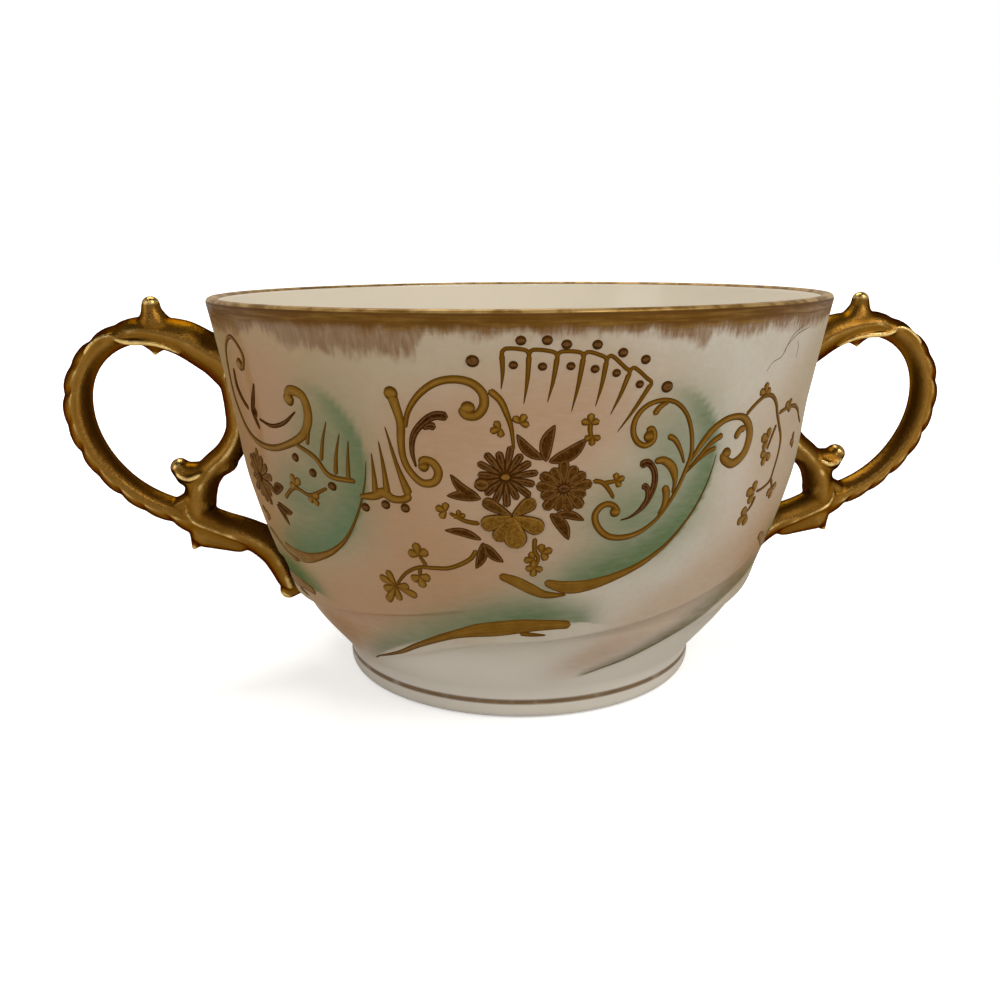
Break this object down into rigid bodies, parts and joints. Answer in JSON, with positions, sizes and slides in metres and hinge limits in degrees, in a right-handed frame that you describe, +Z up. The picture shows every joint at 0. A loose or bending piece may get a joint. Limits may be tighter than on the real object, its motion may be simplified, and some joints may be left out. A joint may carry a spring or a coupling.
{
  "type": "bouillon cup",
  "caption": "Low porcelain soup cup with a swirl-moulded bowl, a foot ring and a scrolled loop handle on each side.",
  "frame": {"origin": "centre of the foot ring, on the plane that the cup stands on", "axes": "+Z up out of the bowl, +X through the right handle, -Y towards the viewer"},
  "size_m": [0.1406, 0.0946, 0.0591],
  "materials": {
    "porcelain": "gloss"
  },
  "bodies": {
    "root": {"cup": "porcelain"}
  },
  "joints": []
}
